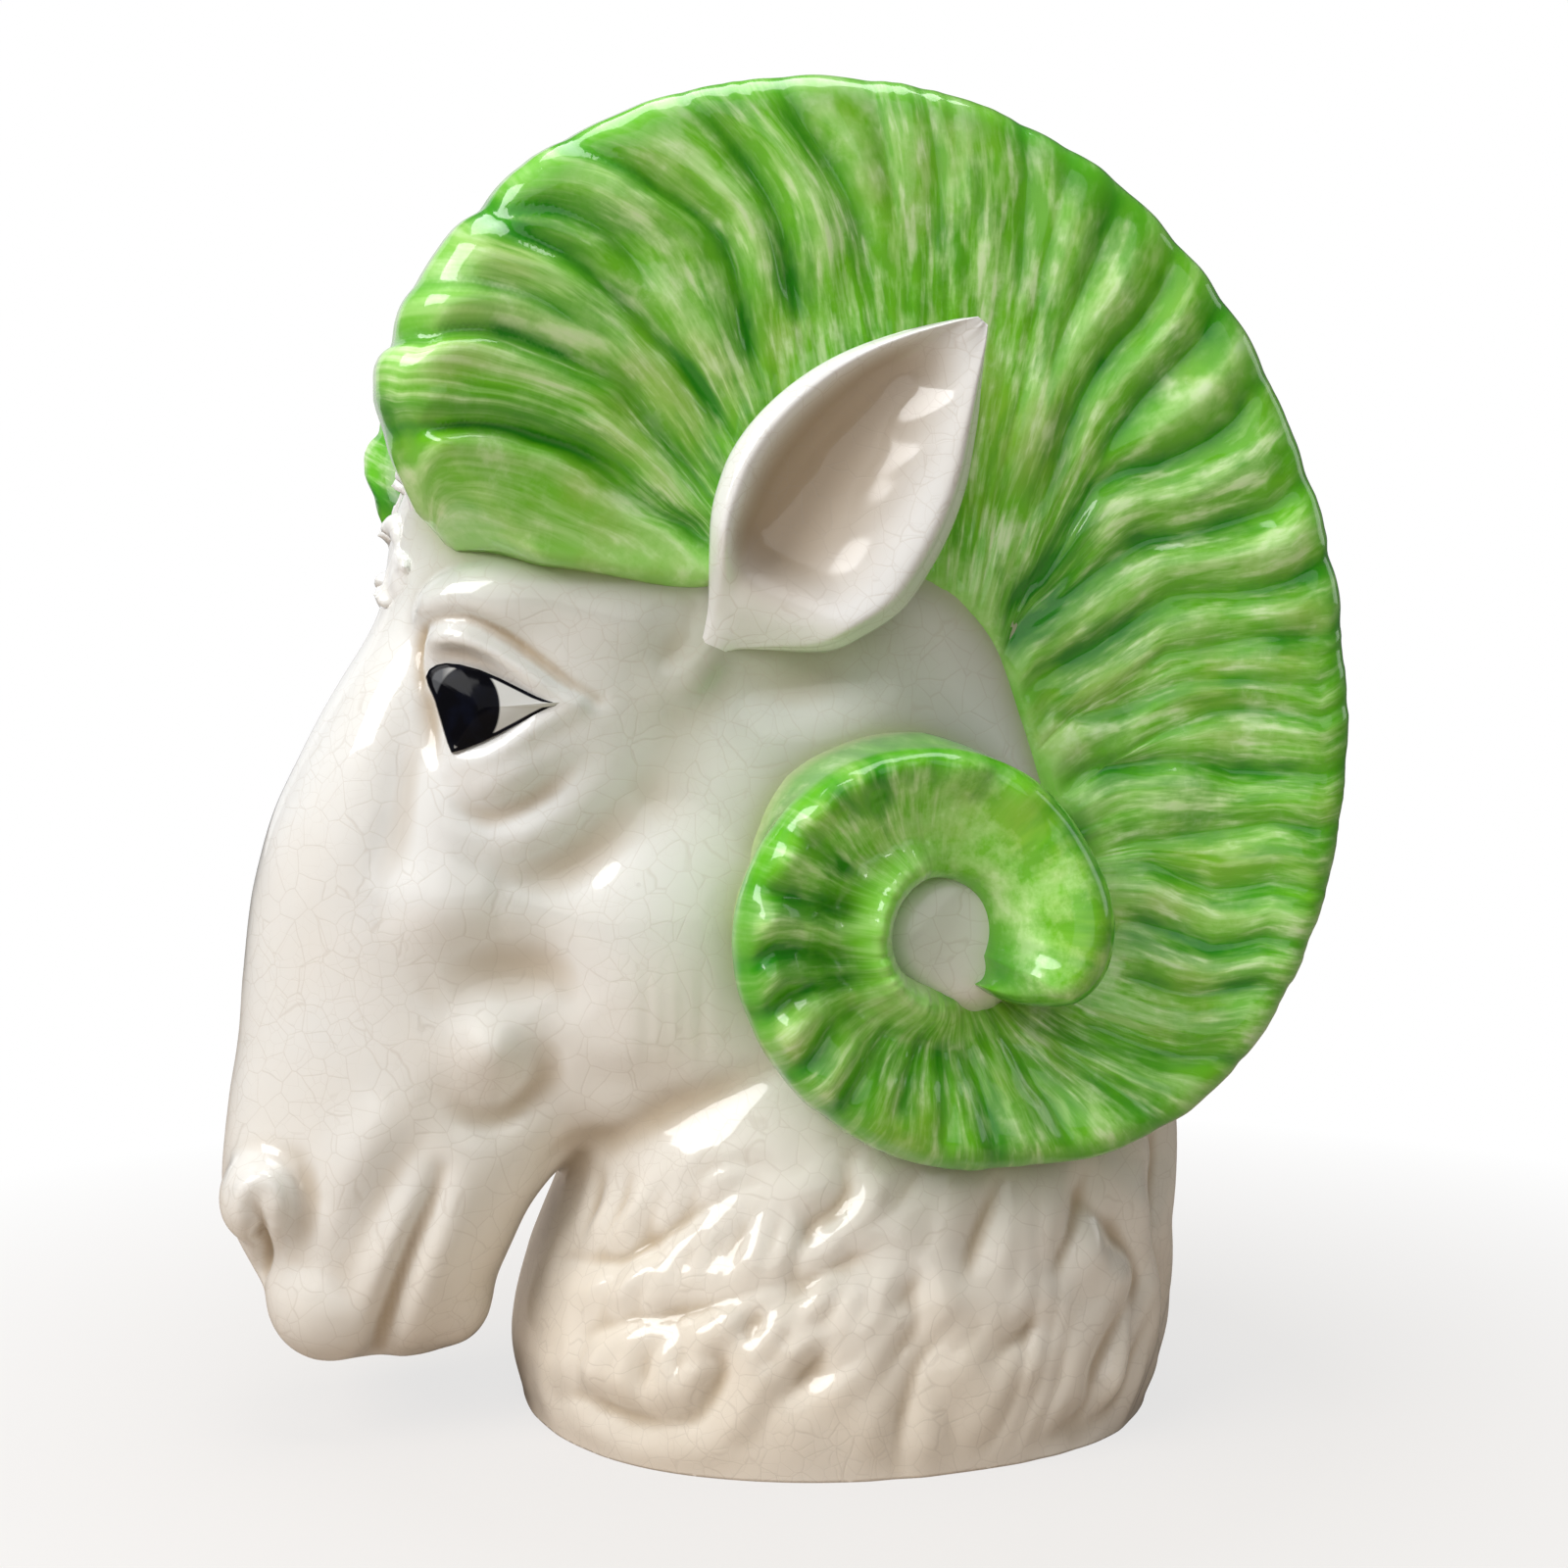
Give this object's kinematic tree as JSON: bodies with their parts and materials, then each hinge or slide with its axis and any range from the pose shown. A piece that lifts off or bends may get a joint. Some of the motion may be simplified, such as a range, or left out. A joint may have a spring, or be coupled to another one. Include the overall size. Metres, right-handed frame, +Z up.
{
  "type": "ceramic planter",
  "caption": "Hollow glazed planter cast as a ram's head, with green ridged curling horns, a white face and woolly neck, and an open mouth between the horns for soil and a plant.",
  "frame": {"origin": "centre of the flat foot, on the surface the planter stands on", "axes": "+Z up to the planting mouth, -Y the way the ram faces, +X the ram's left side"},
  "size_m": [0.1976, 0.2763, 0.3284],
  "materials": {
    "white_glaze": "gloss white glaze, finely crazed",
    "green_glaze": "gloss green glaze, brushed in streaks",
    "eye_glaze": "gloss black painted eye"
  },
  "bodies": {
    "root": {"body_shell": "white_glaze", "left_horn": "green_glaze", "right_horn": "green_glaze", "left_ear": "white_glaze", "right_ear": "white_glaze", "left_eye": "eye_glaze", "right_eye": "eye_glaze", "forelock": "white_glaze"}
  },
  "joints": []
}
